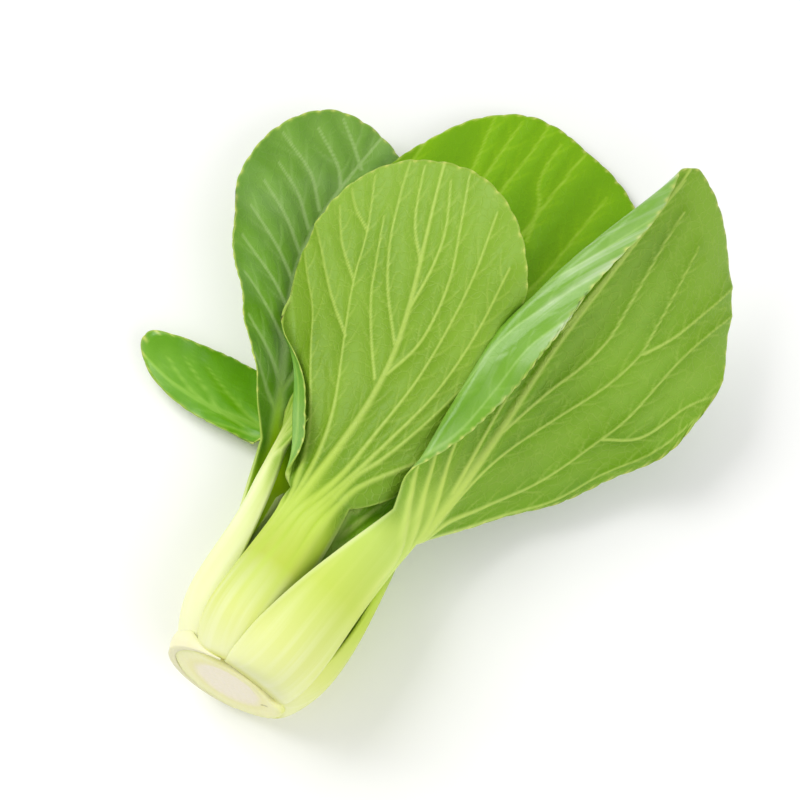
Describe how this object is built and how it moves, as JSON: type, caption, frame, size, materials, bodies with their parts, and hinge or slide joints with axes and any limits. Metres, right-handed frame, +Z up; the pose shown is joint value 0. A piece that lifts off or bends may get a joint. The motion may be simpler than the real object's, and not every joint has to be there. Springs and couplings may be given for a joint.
{
  "type": "bok choy",
  "caption": "Loose head of green-stemmed bok choy lying on its side, cut from its root: thick cupped stalks swell at the base and open into smooth oval blades.",
  "frame": {"origin": "middle of the footprint's bounding box, on the surface the head lies on", "axes": "+Y along the head from its cut stem to the leaf tips, +Z up off the surface, +X to the right seen from above with the tips away from the viewer"},
  "size_m": [0.1884, 0.2422, 0.0764],
  "materials": {
    "outer_leaf": "satin leaf, pale green stalk, light green underside with raised pale veins",
    "dark_leaf": "glossy dark green upper side of a leaf with fine pale veins",
    "heart_leaf": "satin young leaf, tightly folded",
    "stem": "moist matte cut face, cream with a paler pith",
    "trimmed_stub": "satin pale green scale with a cut, slightly dried edge"
  },
  "bodies": {
    "root": {"stem": "stem", "right_leaf": "outer_leaf", "left_leaf": "outer_leaf", "low_leaf_right": "outer_leaf", "front_leaf": "outer_leaf", "low_leaf_left": "outer_leaf", "back_leaf_right": "outer_leaf", "back_leaf_left": "dark_leaf", "heart_leaf_1": "heart_leaf", "heart_leaf_2": "heart_leaf", "heart_leaf_3": "heart_leaf", "trimmed_stub": "trimmed_stub"}
  },
  "joints": []
}
